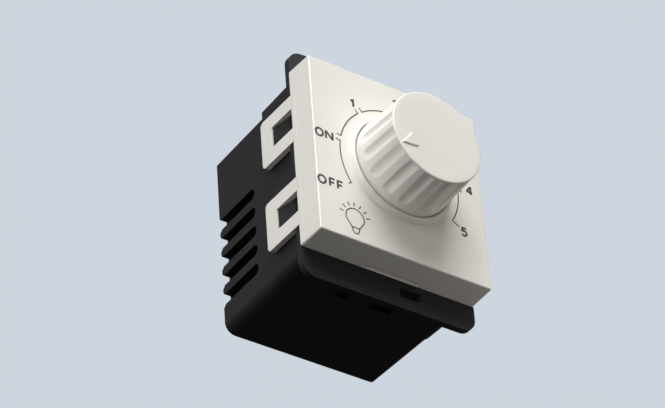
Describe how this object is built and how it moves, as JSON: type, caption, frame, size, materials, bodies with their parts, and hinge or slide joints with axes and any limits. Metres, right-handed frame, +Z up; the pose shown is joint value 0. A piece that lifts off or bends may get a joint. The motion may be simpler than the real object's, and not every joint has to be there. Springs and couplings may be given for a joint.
{
  "type": "rotary dimmer switch",
  "caption": "Rotary dimmer insert for a wall grid frame: fluted dial in a square white face, snapped over a black vented body with an eared flange.",
  "frame": {"origin": "centre of the face outline, on the seat plane where the front faces of the flange's ears meet the grid frame", "axes": "installed pose: +Z up, -Y out of the wall towards the room, +X to the right seen from the room"},
  "size_m": [0.0432, 0.0527, 0.0582],
  "materials": {
    "white_shell": "smooth moulded polycarbonate, slightly warm white, soft sheen",
    "black_shell": "black moulded nylon, fine texture, dull sheen",
    "spring_steel": "blued spring strip",
    "nickel_brass": "turned brass",
    "zinc_steel": "zinc plated steel",
    "rotor_plastic": "moulded acetal",
    "phenolic": "punched phenolic paper with a carbon track",
    "tinned_tag": "tinned brass strip",
    "switch_plastic": "moulded snap switch case",
    "sink_aluminium": "sheared aluminium plate",
    "pad_silicone": "grey silicone sheet",
    "epoxy_black": "moulded epoxy",
    "tinned_copper": "tinned copper tab and leads",
    "iron_powder": "coated iron powder",
    "enamelled_copper": "enamelled copper wire",
    "film_yellow": "yellow box of a film capacitor",
    "film_red": "dipped film capacitor",
    "resistor_coat": "beige coating",
    "diode_glass": "glass bead",
    "clamp_brass": "machined brass block",
    "board_laminate": "single-sided paper laminate"
  },
  "bodies": {
    "dimmer_body": {"front_plate": "white_shell", "mounting_frame": "black_shell", "rear_housing": "black_shell", "pot_bush": "nickel_brass", "pot_nut": "zinc_steel", "pot_washer": "zinc_steel", "pot_case": "zinc_steel", "resistance_track": "phenolic", "pot_pins": "tinned_tag", "power_switch": "switch_plastic", "switch_pins": "tinned_tag", "heat_sink": "sink_aluminium", "insulating_pad": "pad_silicone", "triac_body": "epoxy_black", "triac_tab": "tinned_copper", "triac_screw": "zinc_steel", "triac_nut": "zinc_steel", "circuit_board": "board_laminate", "board_screws": "zinc_steel", "choke_core": "iron_powder", "choke_winding": "enamelled_copper", "suppression_capacitor": "film_yellow", "timing_capacitor": "film_red", "resistors": "resistor_coat", "diac": "diode_glass", "terminal_clamps": "clamp_brass", "terminal_screws": "zinc_steel", "terminal_lugs": "tinned_tag"},
    "dial": {"knob": "white_shell", "knob_clip": "spring_steel", "pot_shaft": "nickel_brass", "retaining_ring": "spring_steel", "wiper_rotor": "rotor_plastic", "wiper_contact": "tinned_tag"}
  },
  "joints": [
    {"name": "knob_turn", "type": "hinge", "parent": "dimmer_body", "child": "dial", "pos_m": [0, 0, 0], "axis": [0, 1, 0], "range_deg": [0, 243]}
  ]
}
